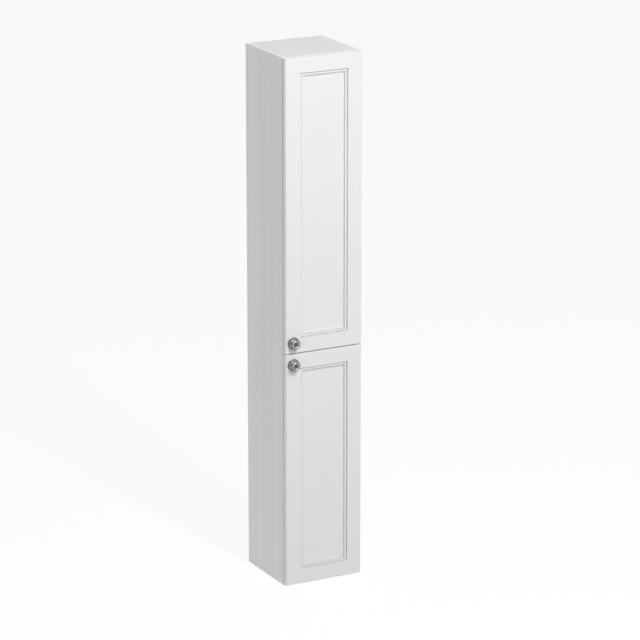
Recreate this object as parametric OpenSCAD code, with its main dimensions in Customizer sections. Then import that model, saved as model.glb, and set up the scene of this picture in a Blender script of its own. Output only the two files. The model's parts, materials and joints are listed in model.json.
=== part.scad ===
// Tall wall-hung bathroom cabinet with two framed doors, one above the other.
// The origin is the bottom centre of the back, on the wall. The doors face -Y.

/* [Cabinet] */
// Width over the side panels
cabinet_w = 250; // [220:1:400]
// Depth from the wall to the face of the doors
cabinet_d = 250; // [220:1:400]
// Height of the side panels
cabinet_h = 1600; // [1400:10:2000]
// Height of the middle of the gap between the two doors
meeting_z = 720.5; // [620:0.5:860]

/* [Carcass] */
// Thickness of the side, top, bottom and middle panels
panel_t = 16; // [15:0.5:19]
// Thickness of the back panel
back_t = 6; // [5:0.5:8]
// Space between the back panel and the wall
service_gap = 16; // [14:0.5:24]
// Depth of the grooves that hold the back panel
groove_depth = 5; // [3:0.5:7]
// Clearance on each face of the back panel in its grooves
groove_fit = 0.15; // [0.05:0.05:0.3]
// Clearance between the edges of the back panel and the bottom of its grooves
groove_end_fit = 0.5; // [0.2:0.1:1]

/* [Shelves] */
// Thickness of a shelf
shelf_t = 16; // [12:0.5:19]
// Distance of a shelf's front edge behind the front of the carcass
shelf_setback = 22; // [10:1:40]
// Clearance at each side of a shelf
shelf_side_fit = 1; // [0.5:0.1:2]
// Clearance behind a shelf
shelf_back_fit = 0.8; // [0.5:0.1:3]
// Diameter of a shelf pin
shelf_pin_d = 5; // [4:0.5:7]
// Depth of a shelf pin in the side panel
shelf_pin_depth = 9; // [7:0.5:11]
// Distance that a shelf pin stands out under its shelf
shelf_pin_reach = 8; // [6:0.5:12]
// Width of the flat seat on a shelf pin
shelf_seat_w = 7; // [5:0.5:10]
// Thickness of the flat seat on a shelf pin
shelf_seat_t = 1.6; // [1:0.1:2.4]
// Spacing of the holes in a row
hole_pitch = 32; // [25:1:40]
// Spare holes above and below each shelf pin
spare_holes = 2; // [1:1:3]
// Distance of the front row of holes behind the front of the carcass
front_row_in = 37; // [30:1:45]
// Distance of the rear row of holes in front of the back panel
rear_row_in = 38; // [25:1:60]

/* [Doors] */
// Thickness of a door
door_t = 18; // [17:0.5:24]
// Space between the carcass and a closed door
door_gap = 2; // [1.6:0.1:3]
// Distance of a door's side edges inside the side panels
side_reveal = 0.5; // [0.3:0.1:2]
// Step from the top of the carcass down to the upper door
top_reveal = 1; // [0.5:0.5:6]
// Step from the bottom of the carcass up to the lower door
bottom_reveal = 4; // [1:0.5:8]
// Height of the gap between the two doors
doors_gap = 3; // [2:0.5:5]
// Width of the stiles and rails
frame_w = 45.5; // [44:0.5:60]
// Radius of the front edges round a door
door_front_r = 2.5; // [1:0.5:4]
// Radius of the back edges round a door
door_back_r = 3; // [2.5:0.5:4]
// Depth of the flat panel's face behind the face of its frame
panel_recess = 9; // [6:0.5:10]
// Thickness of the flat panel in a door
infill_t = 5; // [4:0.5:7]
// Depth of the groove round the inside of a frame
frame_groove = 6; // [5:0.5:8]
// Clearance of the flat panel and the tenons in the depth of that groove
infill_fit = 0.5; // [0.2:0.1:1]

/* [Bead moulding] */
// Width of the bead across the edge of the flat panel
bead_w = 9.5; // [6:0.5:12]
// Step from the face of the frame down to the bead
bead_quirk = 4; // [2:0.5:5]
// Radius of the bead's inner edge
bead_round = 0.5; // [0.3:0.1:1]
// Width of the open joint at each mitre
mitre_gap = 0.1; // [0.05:0.05:0.3]

/* [Hinges] */
// Distance of a hinge's middle from the end of its door
hinge_end = 100; // [70:5:140]
// Distance of the pivot from the edge of the door
pivot_in = 8.2; // [7.8:0.1:8.4]
// Depth of the pivot in the door, from its back
pivot_depth = 11; // [10.8:0.1:11.5]
// Diameter of the cup
cup_d = 34.8; // [34:0.1:36]
// Clearance round the cup in its bore
cup_fit = 0.1; // [0.05:0.05:0.2]
// Wood left between the cup's bore and the edge of the door
cup_edge = 3; // [2.5:0.1:4]
// Thickness of the cup's floor
cup_floor = 0.7; // [0.5:0.1:1]
// Thickness of the cup's flange
flange_t = 1; // [0.6:0.1:1.2]
// Width of the cup's flange
flange_w = 18; // [14:1:20]
// Distance between the two screws of a cup
cup_screws_apart = 48; // [44:1:52]
// Diameter of the hinge pin
hinge_pin_d = 2.5; // [2:0.1:3]
// Length of the hinge pin
hinge_pin_l = 18; // [15:0.5:20]
// Clearance of the hinge pin in the arm, all round
pin_run_fit = 0.05; // [0.02:0.01:0.09]
// Clearance of the hinge pin in the cup, all round
pin_seat_fit = 0.02; // [0.01:0.01:0.05]
// Radius of the arm's eye round the pin
eye_r = 2.4; // [2.2:0.1:2.6]
// Thickness of the arm's metal
arm_t = 2.6; // [2:0.1:2.8]
// Width of the arm's neck
neck_w = 10; // [8:0.5:12]
// Distance of the arm's near face from the pivot
arm_reach = 14; // [13.8:0.1:15]
// Clearance of the neck in the cup
neck_fit = 0.4; // [0.3:0.05:0.6]
// Distance from the pivot to the outer end of the cup's pocket
pocket_out = 3.9; // [3.6:0.1:4]
// Distance from the pivot to the inner end of the cup's pocket
pocket_in = 25; // [18:1:26]
// Length of the arm behind the front of the carcass
arm_l = 50; // [46:1:60]
// Width of the arm's channel
channel_w = 14; // [13:0.5:18]
// Thickness of the channel's sides
channel_side_t = 1.4; // [1:0.1:2]
// Thickness of the mounting plate
plate_t = 3; // [2:0.5:4]
// Height of the mounting plate
plate_h = 50; // [46:1:60]
// Depth of the mounting plate
plate_d = 30; // [24:1:34]
// Distance of the arm's two screws from the middle of the plate
arm_screw_off = 9; // [7:0.5:10]

/* [Knobs] */
// Distance of a knob's centre from the edge of its door
knob_in = 23; // [18:0.5:30]
// Distance of a knob's centre from the door's end at the gap
knob_end = 31.5; // [24:0.5:50]
// Diameter of the rose
rose_d = 37.6; // [24:0.2:44]
// Thickness of the rose
rose_t = 5; // [3:0.5:7]
// Diameter of the knob's head
knob_d = 29.5; // [24:0.5:38]
// Distance from the door to the front of the knob
knob_l = 20.5; // [18:0.5:30]
// Diameter of the knob's neck
neck_d = 13; // [10:0.5:16]
// Thickness of the knob's head at its rim
rim_t = 4.5; // [3:0.5:6]
// Step from the crest of the knob's ring back to its shoulder
shoulder_drop = 2; // [1:0.1:2.6]
// Width of the shoulder outside the ring
shoulder_w = 1.6; // [1:0.1:3]
// Diameter of the dish in the middle of the face
dish_d = 14; // [8:0.5:16]
// Depth of that dish
dish_depth = 2.6; // [1.5:0.1:3]
// Diameter of the knob's screw
knob_screw_d = 4; // [3:0.5:5]
// Depth of the screw in the knob
knob_screw_bite = 9; // [7:1:12]

/* [Wall fixing] */
// Width of a cabinet hanger
hanger_w = 14; // [12:1:18]
// Depth of a cabinet hanger
hanger_d = 50; // [40:1:60]
// Height of a cabinet hanger
hanger_h = 62; // [56:1:80]
// Space between a hanger and the top panel
hanger_top_gap = 4; // [1:1:10]
// Thickness of a hanger's hook
hook_t = 3; // [2:0.5:4]
// Height of the hook's stem
hook_stem_h = 8; // [6:0.5:10]
// Length of the hook's tooth
hook_tooth_l = 10; // [6:1:13]
// Thickness of the hook's tooth
hook_tooth_t = 3; // [2:0.5:3]
// Thickness of the wall rail's steel
rail_t = 2; // [1.5:0.1:2]
// Distance from the wall to the face of the rail's lip
rail_stand = 8; // [7.5:0.5:9]
// Height of the rail's lip
rail_lip_h = 17; // [15:1:22]
// Height of the rail's plate
rail_plate_h = 30; // [24:1:40]
// Clearance at each end of the wall rail
rail_end_fit = 3; // [1:0.5:6]
// Distance between the wall rail's two holes
rail_holes_apart = 160; // [100:5:180]
// Distance between the lower fixing rail's two holes
fix_holes_apart = 150; // [100:5:180]
// Diameter of the holes for the wall screws
wall_hole_d = 6; // [5:0.5:8]
// Height of the lower fixing rail
fix_rail_h = 60; // [40:5:90]
// Height of the lower fixing rail's bottom edge
fix_rail_z = 60; // [30:5:120]

/* [Fittings] */
// Diameter of a cam lock
cam_d = 15; // [12:0.5:16]
// Depth of a cam lock
cam_h = 12.5; // [11:0.5:13]
// Distance of a cam's centre from the end of its panel
cam_in = 24; // [20:1:34]
// Distance of the cams from the front and the back of the carcass
cam_edge = 45; // [36:1:60]
// Diameter of a cam bolt
cam_bolt_d = 6; // [5:0.5:7]
// Diameter of a cam bolt's thread
cam_thread_d = 5; // [4:0.5:6]
// Length of a cam bolt's thread in the side panel
cam_thread_l = 11; // [8:0.5:12]
// Diameter of a dowel
dowel_d = 8; // [6:0.5:8]
// Length of a dowel in the side panel
dowel_side_l = 9; // [7:0.5:11]
// Length of a dowel in the panel that it joins
dowel_end_l = 20; // [15:1:25]
// Clearance round screws, bolts, cams and dowels in their holes
hole_fit = 0.05; // [0.03:0.01:0.1]
// Diameter of the screws in the side panels
side_screw_d = 6; // [5:0.2:6.4]
// Length of those screws in the wood
side_screw_l = 12; // [9:0.5:13]
// Diameter of the screws in the doors
door_screw_d = 3.5; // [3:0.5:4]
// Length of those screws in the wood
door_screw_l = 11; // [8:0.5:12]
// Diameter of the bumpers
bumper_d = 8; // [6:0.5:10]
// Clearance between a bumper and the carcass
bumper_fit = 0.3; // [0.2:0.1:0.6]

/* [Hidden] */
$fn = 48;

white = [0.93, 0.93, 0.925];
door_white = [0.95, 0.95, 0.945];
inside_white = [0.9, 0.9, 0.89];
nickel = [0.62, 0.62, 0.62];
pewter = [0.45, 0.45, 0.46];
zinc = [0.7, 0.71, 0.72];
beech = [0.78, 0.64, 0.45];
clear_grey = [0.8, 0.8, 0.8];

// Cuts run past the faces that they open by this much
past = 1;

// The carcass, from the wall forwards
half_w = cabinet_w / 2;
inner_x = half_w - panel_t;
front_y = -(cabinet_d - door_t - door_gap);
back_rear_y = -service_gap;
back_front_y = back_rear_y - back_t;
top_under_z = cabinet_h - panel_t;
middle_z = meeting_z - panel_t / 2;

// Shelves share each compartment evenly
lower_clear = (middle_z - panel_t - shelf_t) / 2;
upper_clear = (top_under_z - middle_z - panel_t - 2 * shelf_t) / 3;
lower_shelf_z = panel_t + lower_clear;
upper_low_z = middle_z + panel_t + upper_clear;
upper_high_z = upper_low_z + shelf_t + upper_clear;
shelf_heights = [lower_shelf_z, upper_low_z, upper_high_z];
shelf_front_y = front_y + shelf_setback;
front_row_y = front_y + front_row_in;
rear_row_y = back_front_y - rear_row_in;
shelf_pin_r = shelf_pin_d / 2;
shelf_pin_end_gap = 1;

// The doors
door_w = cabinet_w - 2 * side_reveal;
door_front_y = -cabinet_d;
door_back_y = front_y - door_gap;
upper_span = [meeting_z + doors_gap / 2, cabinet_h - top_reveal];
lower_span = [bottom_reveal, meeting_z - doors_gap / 2];
infill_face_y = door_front_y + panel_recess;
infill_back_y = infill_face_y + infill_t;
open_half_w = door_w / 2 - frame_w;

// The hinges
pivot_x = door_w / 2 - pivot_in;
pivot_y = door_back_y - pivot_depth;
cup_bore_r = cup_d / 2 + cup_fit;
cup_u = pivot_in - cup_edge - cup_bore_r;
pocket_floor = eye_r + neck_fit;
cup_depth = pivot_depth + pocket_floor + cup_floor;
cup_bore_gap = 0.2;
hinge_pin_r = hinge_pin_d / 2;
arm_near_x = pivot_x - arm_reach;
arm_far_x = arm_near_x - arm_t;
arm_end_y = front_y + arm_l;
channel_gap = 0.3;
channel_start = 5;
plate_face_x = inner_x - plate_t;
upper_hinges = [upper_span[0] + hinge_end, upper_span[1] - hinge_end];
lower_hinges = [lower_span[0] + hinge_end, lower_span[1] - hinge_end];
side_screw_r = side_screw_d / 2;
side_head_r = side_screw_d * 0.75;
side_head_t = 2;
arm_screw_r = 1.9;
arm_head_r = 3.2;
arm_head_t = 1.5;
arm_screw_bite = 7;
door_screw_r = door_screw_d / 2;
door_head_r = door_screw_d * 0.95;
door_head_t = 1.2;

// The knobs
knob_x = -(door_w / 2 - knob_in);
upper_knob_z = upper_span[0] + knob_end;
lower_knob_z = lower_span[1] - knob_end;
knob_screw_r = knob_screw_d / 2;
knob_hole_fit = 0.2;
knob_head_r = knob_screw_d;
knob_head_t = 1.6;

// The wall fixings
hanger_z = top_under_z - hanger_top_gap - hanger_h;
hook_x = inner_x - hanger_w / 2;
hook_z = hanger_z + hanger_h / 2 - hook_stem_h / 2;
hook_front_y = back_front_y - hanger_d * 0.7;
hook_play = 0.5;
rail_rear_y = -(rail_stand - rail_t);
tooth_front_y = rail_rear_y + hook_play;
slot_play = 1;
hook_slip = 0.2;
rail_hole_z = hook_z - rail_lip_h - rail_plate_h / 2;
fix_hole_z = fix_rail_z + fix_rail_h / 2;
adjuster_r = 3;
adjuster_l = 18;
adjuster_off = 16;
hanger_screw_off = 22;
hanger_screw_in = 12;
wall_hole_r = wall_hole_d / 2;

// The fittings
cam_r = cam_d / 2;
cam_bolt_r = cam_bolt_d / 2;
cam_thread_r = cam_thread_d / 2;
cam_head_r = cam_bolt_r + 0.5;
cam_head_l = 4;
cam_rows = [front_y + cam_edge, -cam_edge];
dowel_r = dowel_d / 2;
dowel_y = front_y / 2;
rail_dowel_r = 3;
rail_dowel_off = 18;
rail_dowel_end_l = 12;
panel_levels = [panel_t / 2, middle_z + panel_t / 2, top_under_z + panel_t / 2];
bumper_in = 8;
bumper_end = 20;

module block(low, high) translate(low) cube(high - low);

// A round bar from a point, r in radius and l long, towards +X, +Y or +Z
module bar_x(p, r, l) translate(p) rotate([0, 90, 0]) cylinder(r = r, h = l);
module bar_y(p, r, l) translate(p) rotate([-90, 0, 0]) cylinder(r = r, h = l);
module bar_z(p, r, l) translate(p) cylinder(r = r, h = l);

module both_sides() {
    children();
    mirror([1, 0, 0]) children();
}

function arc(c, r, from, to, n = 6) =
    [for (i = [0:n]) c + r * [cos(from + (to - from) * i / n), sin(from + (to - from) * i / n)]];

// Space that the back panel's grooves open in the panels round it
module back_grooves()
    block([-inner_x - groove_depth, back_front_y - groove_fit, panel_t - groove_depth],
          [inner_x + groove_depth, back_rear_y + groove_fit, top_under_z + groove_depth]);

// Holes for the shelf pins in the right side panel
module shelf_pin_holes()
    for (z = shelf_heights, y = [front_row_y, rear_row_y], k = [-spare_holes:spare_holes])
        bar_x([inner_x - past, y, z - shelf_pin_r + k * hole_pitch],
              shelf_pin_r + hole_fit, shelf_pin_depth + shelf_pin_end_gap + past);

// Cam bolts and dowels at the right end of each panel, larger all round by fit
module right_cam_bolts(fit)
    for (z = panel_levels, y = cam_rows) {
        bar_x([inner_x, y, z], cam_thread_r + fit, cam_thread_l + fit);
        bar_x([inner_x - cam_in + cam_head_l, y, z], cam_bolt_r + fit, cam_in - cam_head_l);
        bar_x([inner_x - cam_in, y, z], cam_head_r + fit, cam_head_l);
    }

module right_dowels(fit) {
    for (z = panel_levels)
        bar_x([inner_x - dowel_end_l - fit, dowel_y, z],
              dowel_r + fit, dowel_end_l + dowel_side_l + 2 * fit);
    for (k = [-1, 1])
        bar_x([inner_x - rail_dowel_end_l - fit, back_rear_y / 2, fix_hole_z + k * rail_dowel_off],
              rail_dowel_r + fit, rail_dowel_end_l + dowel_side_l + 2 * fit);
}

// Screws that go into the right side panel through the hinge plates, or through a hanger
module plate_screws(fit)
    for (z = concat(upper_hinges, lower_hinges), k = [-1, 1])
        side_screw([plate_face_x, front_row_y, z + k * hole_pitch / 2], plate_t, fit);

module right_hanger_screws(fit)
    for (k = [-1, 1])
        side_screw([inner_x - hanger_w, back_front_y - hanger_screw_in,
                    hook_z + hook_stem_h / 2 + k * hanger_screw_off], hanger_w, fit);

module side_screw(p, through, fit) {
    bar_x(p, side_screw_r + fit, through + side_screw_l + fit);
    if (fit == 0)
        difference() {
            bar_x(p - [side_head_t, 0, 0], side_head_r, side_head_t);
            cross_recess_x(p - [side_head_t, 0, 0], side_head_r);
        }
}

// A cross cut in a screw head that faces -X
module cross_recess_x(p, r)
    for (a = [0, 90])
        translate(p) rotate([a, 0, 0]) cube([1.6, r * 1.3, r * 0.3], center = true);

module side_blank() {
    difference() {
        block([inner_x, front_y, 0], [half_w, 0, cabinet_h]);
        back_grooves();
        shelf_pin_holes();
        right_cam_bolts(hole_fit);
        right_dowels(hole_fit);
        right_hanger_screws(hole_fit);
    }
}

module left_side_panel() {
    color(white) mirror([1, 0, 0]) side_blank();
}

module right_side_panel() {
    color(white) difference() {
        side_blank();
        plate_screws(hole_fit);
    }
}

// A panel between the sides, with its cam locks let in from below
module cross_panel(z, rear_y) {
    difference() {
        block([-inner_x, front_y, z], [inner_x, rear_y, z + panel_t]);
        back_grooves();
        both_sides() {
            right_cam_bolts(hole_fit);
            right_dowels(hole_fit);
            for (y = cam_rows)
                bar_z([inner_x - cam_in, y, z - past], cam_r + hole_fit, cam_h + hole_fit + past);
        }
    }
}

module top_panel() {
    color(white) cross_panel(top_under_z, 0);
}

module bottom_panel() {
    color(white) cross_panel(0, 0);
}

module middle_panel() {
    color(inside_white) cross_panel(middle_z, back_front_y);
}

module back_panel() {
    reach_x = inner_x + groove_depth - groove_end_fit;
    hook_slot = hook_t / 2 + slot_play;
    color(inside_white) difference() {
        block([-reach_x, back_front_y, panel_t - groove_depth + groove_end_fit],
              [reach_x, back_rear_y, top_under_z + groove_depth - groove_end_fit]);
        both_sides()
            block([hook_x - hook_slot, back_front_y - past, hook_z - hook_tooth_l - slot_play],
                  [hook_x + hook_slot, back_rear_y + past, hook_z + hook_stem_h + slot_play]);
        fixing_holes();
    }
}

module fixing_holes()
    both_sides()
        bar_y([fix_holes_apart / 2, back_front_y - past, fix_hole_z],
              wall_hole_r, service_gap + back_t + 2 * past);

module lower_fixing_rail() {
    color(inside_white) difference() {
        block([-inner_x, back_rear_y, fix_rail_z], [inner_x, 0, fix_rail_z + fix_rail_h]);
        fixing_holes();
        both_sides() right_dowels(hole_fit);
    }
}

// A bent steel strip: a plate on the wall and a lip that stands off it
module wall_rail() {
    l = 2 * (inner_x - rail_end_fit);
    step_z = hook_z - rail_lip_h;
    plate_z = step_z - rail_plate_h;
    color(zinc) difference() {
        translate([-l / 2, 0, 0]) rotate([90, 0, 90]) linear_extrude(l)
            polygon([[0, plate_z], [-rail_t, plate_z], [-rail_t, step_z], [-rail_stand, step_z],
                     [-rail_stand, hook_z], [rail_rear_y, hook_z],
                     [rail_rear_y, step_z + rail_t], [0, step_z + rail_t]]);
        both_sides()
            bar_y([rail_holes_apart / 2, -rail_stand, rail_hole_z], wall_hole_r, rail_stand + past);
    }
}

module hook_side(grow) {
    translate([hook_x - hook_t / 2 - grow, 0, 0]) rotate([90, 0, 90])
        linear_extrude(hook_t + 2 * grow)
            polygon([[hook_front_y - grow, hook_z - grow], [tooth_front_y, hook_z - grow],
                     [tooth_front_y, hook_z - hook_tooth_l],
                     [tooth_front_y + hook_tooth_t, hook_z - hook_tooth_l],
                     [tooth_front_y + hook_tooth_t, hook_z + hook_stem_h + grow],
                     [hook_front_y - grow, hook_z + hook_stem_h + grow]]);
}

module right_adjusters(fit)
    for (k = [-1, 1])
        bar_y([hook_x, back_front_y - hanger_d - fit, hook_z + hook_stem_h / 2 + k * adjuster_off],
              adjuster_r + fit, adjuster_l + 2 * fit);

module hanger() {
    difference() {
        block([inner_x - hanger_w, back_front_y - hanger_d, hanger_z],
              [inner_x, back_front_y, hanger_z + hanger_h]);
        hook_side(hook_slip);
        right_adjusters(hole_fit);
        right_hanger_screws(hole_fit);
    }
}

module left_hanger() {
    color(clear_grey) mirror([1, 0, 0]) hanger();
}

module right_hanger() {
    color(clear_grey) hanger();
}

module left_hanger_hook() {
    color(zinc) mirror([1, 0, 0]) hook_side(0);
}

module right_hanger_hook() {
    color(zinc) hook_side(0);
}

module hanger_adjusters() {
    color(zinc) both_sides() difference() {
        right_adjusters(0);
        for (k = [-1, 1], a = [0, 90])
            translate([hook_x, back_front_y - hanger_d,
                       hook_z + hook_stem_h / 2 + k * adjuster_off])
                rotate([0, a, 0]) cube([adjuster_r * 1.3, 1.6, adjuster_r * 0.3], center = true);
    }
}

module shelf(z) {
    block([-inner_x + shelf_side_fit, shelf_front_y, z],
          [inner_x - shelf_side_fit, back_front_y - shelf_back_fit, z + shelf_t]);
}

module lower_shelf() {
    color(inside_white) shelf(lower_shelf_z);
}

module upper_shelf_low() {
    color(inside_white) shelf(upper_low_z);
}

module upper_shelf_high() {
    color(inside_white) shelf(upper_high_z);
}

// A round pin in the side panel with a flat seat under the shelf
module shelf_pins() {
    color(nickel) both_sides()
        for (z = shelf_heights, y = [front_row_y, rear_row_y]) {
            bar_x([inner_x - shelf_pin_reach, y, z - shelf_pin_r],
                  shelf_pin_r, shelf_pin_reach + shelf_pin_depth);
            block([inner_x - shelf_pin_reach, y - shelf_seat_w / 2, z - shelf_seat_t],
                  [inner_x, y + shelf_seat_w / 2, z]);
        }
}

module cam_bolts() {
    color(zinc) both_sides() right_cam_bolts(0);
}

module cam_locks() {
    color(zinc) both_sides()
        for (level = panel_levels, y = cam_rows)
            translate([inner_x - cam_in, y, level - panel_t / 2]) difference() {
                cylinder(r = cam_r, h = cam_h);
                bar_x([0, 0, panel_t / 2], cam_head_r + hole_fit, cam_r + past);
                for (a = [45, 135])
                    rotate([0, 0, a]) cube([cam_r, cam_r * 0.2, 3], center = true);
            }
}

module dowels() {
    color(beech) both_sides() right_dowels(0);
}

module side_screws() {
    color(zinc) {
        plate_screws(0);
        both_sides() right_hanger_screws(0);
    }
}

// Section across a door: its face is at door_front_y and its edges are rounded
module slab_section(w) {
    x = w / 2;
    f = door_front_r;
    b = door_back_r;
    polygon(concat(
        arc([x - f, door_front_y + f], f, -90, 0),
        arc([x - b, door_back_y - b], b, 0, 90),
        arc([b - x, door_back_y - b], b, 90, 180),
        arc([f - x, door_front_y + f], f, 180, 270)));
}

module door_slab(span) {
    h = span[1] - span[0];
    intersection() {
        translate([0, 0, span[0]]) linear_extrude(h) slab_section(door_w);
        translate([half_w + past, 0, span[0] + h / 2]) rotate([0, -90, 0])
            linear_extrude(cabinet_w + 2 * past) slab_section(h);
    }
}

// Groove round the inside of a frame, for the flat panel and the tenons
module frame_groove_cut(span)
    block([-open_half_w - frame_groove, infill_face_y, span[0] + frame_w - frame_groove],
          [open_half_w + frame_groove, infill_back_y, span[1] - frame_w + frame_groove]);

// A stile on one side of a door: the groove in it runs out at both ends
module stile(span, side) {
    difference() {
        intersection() {
            door_slab(span);
            mirror([side < 0 ? 1 : 0, 0, 0])
                block([open_half_w, door_front_y - past, span[0]],
                      [half_w, door_back_y + past, span[1]]);
        }
        block([-open_half_w - frame_groove, infill_face_y, span[0] - past],
              [open_half_w + frame_groove, infill_back_y, span[1] + past]);
    }
}

module hinge_stile(span, hinges) {
    difference() {
        stile(span, 1);
        for (z = hinges) {
            bar_y([pivot_x + cup_u, door_back_y - cup_depth - cup_bore_gap, z],
                  cup_bore_r, cup_depth + cup_bore_gap + past);
            cup_screw_pair(z, hole_fit);
        }
    }
}

module knob_stile(span, z) {
    difference() {
        stile(span, -1);
        bar_y([knob_x, door_front_y - past, z], knob_screw_r + knob_hole_fit, door_t + 2 * past);
    }
}

// A rail between the stiles, with a tenon at each end in their grooves
module rail(span, low_z) {
    tenon = open_half_w + frame_groove - infill_fit;
    difference() {
        union() {
            intersection() {
                door_slab(span);
                block([-open_half_w, door_front_y - past, low_z],
                      [open_half_w, door_back_y + past, low_z + frame_w]);
            }
            block([-tenon, infill_face_y, max(low_z, span[0] + door_back_r)],
                  [tenon, infill_back_y, min(low_z + frame_w, span[1] - door_back_r)]);
        }
        frame_groove_cut(span);
    }
}

module infill(span) {
    tuck = frame_groove - infill_fit;
    block([-open_half_w - tuck, infill_face_y, span[0] + frame_w - tuck],
          [open_half_w + tuck, infill_back_y, span[1] - frame_w + tuck]);
}

// One length of bead along X, mitred at both ends, its back on the plane of X and Y
module bead_length(l) {
    bead_h = panel_recess - bead_quirk;
    end = l / 2 - mitre_gap * sqrt(0.5);
    intersection() {
        translate([-l / 2, 0, 0]) rotate([90, 0, 90]) linear_extrude(l)
            polygon(concat([[0, 0], [bead_w, 0]],
                           arc([bead_w - bead_round, bead_h - bead_round], bead_round, 0, 90, 3),
                           [[0, bead_h]]));
        linear_extrude(panel_recess)
            polygon([[-end, 0], [end, 0], [end - bead_w, bead_w], [bead_w - end, bead_w]]);
    }
}

module beads(span) {
    w = 2 * open_half_w;
    h = span[1] - span[0] - 2 * frame_w;
    translate([0, infill_face_y, (span[0] + span[1]) / 2]) rotate([90, 0, 0])
        for (k = [0:3])
            rotate([0, 0, 90 * k]) translate([0, (k % 2 == 0 ? -h : -w) / 2, 0])
                bead_length(k % 2 == 0 ? w : h);
}

// The pivot is the pin's axis, parallel to Z. The neck swings in the cup's pocket.
module hinge_cup(z) {
    translate([pivot_x, pivot_y, z]) difference() {
        union() {
            bar_y([cup_u, pivot_depth - cup_depth, 0], cup_d / 2, cup_depth);
            translate([cup_u, pivot_depth, 0]) rotate([-90, 0, 0]) linear_extrude(flange_t) {
                square([flange_w, cup_screws_apart], center = true);
                for (k = [-1, 1])
                    translate([0, k * cup_screws_apart / 2]) circle(d = flange_w);
            }
        }
        block([-pocket_in, -pocket_floor, -neck_w / 2 - neck_fit],
              [pocket_out, pivot_depth + flange_t + past, neck_w / 2 + neck_fit]);
        bar_z([0, 0, -hinge_pin_l / 2 - pin_seat_fit], hinge_pin_r + pin_seat_fit,
              hinge_pin_l + 2 * pin_seat_fit);
        for (k = [-1, 1])
            bar_y([cup_u, pivot_depth - past, k * cup_screws_apart / 2],
                  door_screw_r + hole_fit, flange_t + 2 * past);
    }
}

module cup_screw_pair(z, fit)
    for (k = [-1, 1])
        translate([pivot_x + cup_u, door_back_y, z + k * cup_screws_apart / 2]) {
            bar_y([0, -door_screw_l - fit, 0], door_screw_r + fit, door_screw_l + flange_t + fit);
            if (fit == 0)
                difference() {
                    bar_y([0, flange_t, 0], door_head_r, door_head_t * 0.7);
                    translate([0, flange_t + door_head_t * 0.7, 0]) for (a = [0, 90])
                        rotate([0, a, 0])
                            cube([door_head_r * 1.3, 0.8, door_head_r * 0.3], center = true);
                }
        }

module hinge_pins(hinges)
    for (z = hinges)
        bar_z([pivot_x, pivot_y, z - hinge_pin_l / 2], hinge_pin_r, hinge_pin_l);

// The arm leaves the pin inwards, turns back out of the cup and runs on as a channel
module hinge_arm(z) {
    difference() {
        union() {
            translate([pivot_x, pivot_y, z - neck_w / 2]) linear_extrude(neck_w) {
                circle(r = eye_r);
                translate([-arm_reach - arm_t, -eye_r]) square([arm_reach + arm_t, arm_t]);
            }
            block([arm_far_x, pivot_y - eye_r, z - neck_w / 2],
                  [arm_near_x, arm_end_y, z + neck_w / 2]);
            block([arm_far_x, front_y + channel_start, z - channel_w / 2],
                  [plate_face_x - channel_gap, arm_end_y, z + channel_w / 2]);
        }
        bar_z([pivot_x, pivot_y, z - neck_w / 2 - past], hinge_pin_r + pin_run_fit,
              neck_w + 2 * past);
        block([arm_near_x, front_y + channel_start - past, z - channel_w / 2 + channel_side_t],
              [plate_face_x, arm_end_y + past, z + channel_w / 2 - channel_side_t]);
        arm_screw_pair(z, hole_fit);
    }
}

module hinge_plate(z) {
    rib_w = channel_w - 2 * channel_side_t - 2 * channel_gap;
    difference() {
        union() {
            block([plate_face_x, front_row_y - plate_d / 2, z - plate_h / 2],
                  [inner_x, front_row_y + plate_d / 2, z + plate_h / 2]);
            block([arm_near_x, front_row_y - plate_d / 2, z - rib_w / 2],
                  [inner_x, front_row_y + plate_d / 2, z + rib_w / 2]);
        }
        arm_screw_pair(z, hole_fit);
        for (k = [-1, 1])
            side_screw([plate_face_x - past, front_row_y, z + k * hole_pitch / 2],
                       plate_t + 2 * past, hole_fit);
    }
}

module arm_screw_pair(z, fit)
    for (k = [-1, 1])
        translate([arm_far_x, front_row_y + k * arm_screw_off, z]) {
            bar_x([-fit, 0, 0], arm_screw_r + fit, arm_screw_bite + 2 * fit);
            if (fit == 0)
                difference() {
                    bar_x([-arm_head_t, 0, 0], arm_head_r, arm_head_t);
                    cross_recess_x([-arm_head_t, 0, 0], arm_head_r);
                }
        }

module arm_screws() {
    color(zinc) for (z = concat(upper_hinges, lower_hinges)) arm_screw_pair(z, 0);
}

// Turned parts stand on the face of the door, their axes towards -Y
module on_door(z) translate([knob_x, door_front_y, z]) rotate([90, 0, 0]) children();

module rose(z) {
    r = rose_d / 2;
    hole = knob_screw_r + knob_hole_fit;
    waist = neck_d / 2 + 1.5;
    cove = [r - 1.6 - waist, rose_t - 1.6];
    on_door(z) rotate_extrude()
        polygon(concat([[hole, 0], [r, 0]],
                       arc([r - 1, 1.2], 1, 0, 90, 4),
                       [for (p = arc([0, 0], 1, 270, 180, 7))
                           [r - 1.6 + p[0] * cove[0], rose_t + p[1] * cove[1]]],
                       [[hole, rose_t]]));
}

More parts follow.
